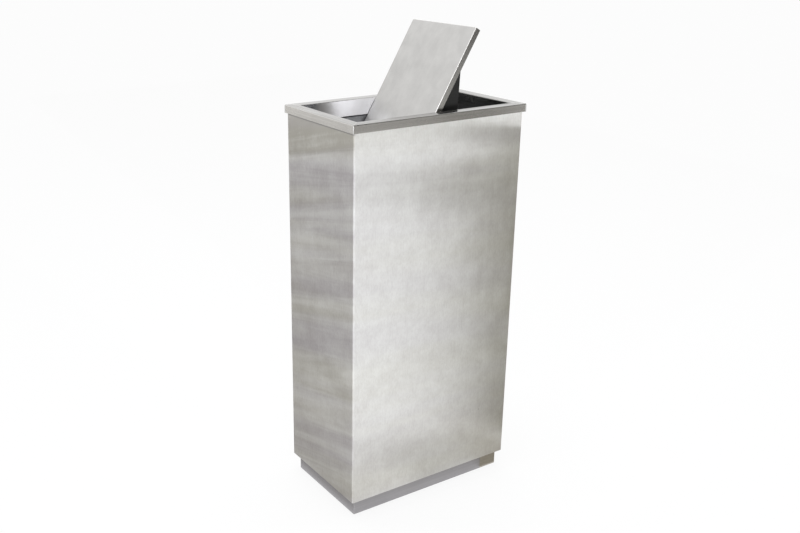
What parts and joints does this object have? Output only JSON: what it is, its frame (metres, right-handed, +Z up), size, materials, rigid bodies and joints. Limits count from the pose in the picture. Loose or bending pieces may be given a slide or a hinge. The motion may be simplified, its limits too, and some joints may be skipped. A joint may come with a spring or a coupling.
{
  "type": "flip top bin",
  "caption": "Tall rectangular stainless bin on a recessed plinth, with a lift-off rim frame, a flap pivoting across its mouth and a lift-out galvanised liner.",
  "frame": {"origin": "on the floor under the middle of the bin", "axes": "+X to the right along the wide front, +Y from front to back, +Z up"},
  "size_m": [0.38, 0.23, 0.9006],
  "materials": {
    "body_sheet": "brushed stainless sheet, hairline grain upright",
    "plinth_sheet": "brushed stainless sheet",
    "rim_sheet": "brushed stainless sheet, grain along each rail",
    "flap_sheet": "brushed stainless sheet, grain along the flap",
    "plate_steel": "plain steel plate",
    "fastener_steel": "bright stainless fasteners",
    "rubber": "matt black rubber",
    "nylon": "natural nylon",
    "galvanised": "spangled galvanised sheet",
    "handle_wire": "zinc-plated wire"
  },
  "bodies": {
    "casing": {"body_wrap": "body_sheet", "back_panel": "body_sheet", "body_floor": "body_sheet", "plinth_left": "plinth_sheet", "plinth_right": "plinth_sheet", "plinth_screws": "fastener_steel", "foot_pads": "rubber"},
    "lid": {"rim_front_rail": "rim_sheet", "rim_back_rail": "rim_sheet", "rim_left_rail": "rim_sheet", "rim_right_rail": "rim_sheet", "pivot_plate_front": "plate_steel", "pivot_plate_back": "plate_steel", "plate_rivets": "fastener_steel", "pivot_pin_front": "fastener_steel", "pivot_pin_back": "fastener_steel", "pivot_nuts": "fastener_steel", "stop_screw_front": "fastener_steel", "stop_screw_back": "fastener_steel", "stop_sleeve_front": "rubber", "stop_sleeve_back": "rubber"},
    "flap": {"flap_panel": "flap_sheet", "flap_cheek_front": "flap_sheet", "flap_cheek_back": "flap_sheet", "pivot_bush_front": "nylon", "pivot_bush_back": "nylon"},
    "liner": {"liner_trough": "galvanised", "liner_end_left": "galvanised", "liner_end_right": "galvanised", "liner_rivets": "fastener_steel", "handle_clips_left": "galvanised", "handle_clips_right": "galvanised", "clip_rivets": "fastener_steel"},
    "handle_left": {"liner_handle_left": "handle_wire"},
    "handle_right": {"liner_handle_right": "handle_wire"}
  },
  "joints": [
    {"name": "lid_lift", "type": "slide", "parent": "casing", "child": "lid", "axis": [0, 0, 1], "range_m": [0, 0.95]},
    {"name": "flap_swing", "type": "hinge", "parent": "lid", "child": "flap", "pos_m": [0, 0, 0.7545], "axis": [0, 1, 0], "range_deg": [0, 118.4]},
    {"name": "liner_lift", "type": "slide", "parent": "casing", "child": "liner", "axis": [0, 0, 1], "range_m": [0, 0.741]},
    {"name": "handle_left_fold", "type": "hinge", "parent": "liner", "child": "handle_left", "pos_m": [-0.1687, 0, 0.69996], "axis": [0, -1, 0], "range_deg": [0, 165]},
    {"name": "handle_right_fold", "type": "hinge", "parent": "liner", "child": "handle_right", "pos_m": [0.1687, 0, 0.69996], "axis": [0, 1, 0], "range_deg": [0, 165]}
  ],
  "couplings": [
    {"joint": "liner_lift", "follows": "lid_lift", "ratio": 0.78}
  ]
}
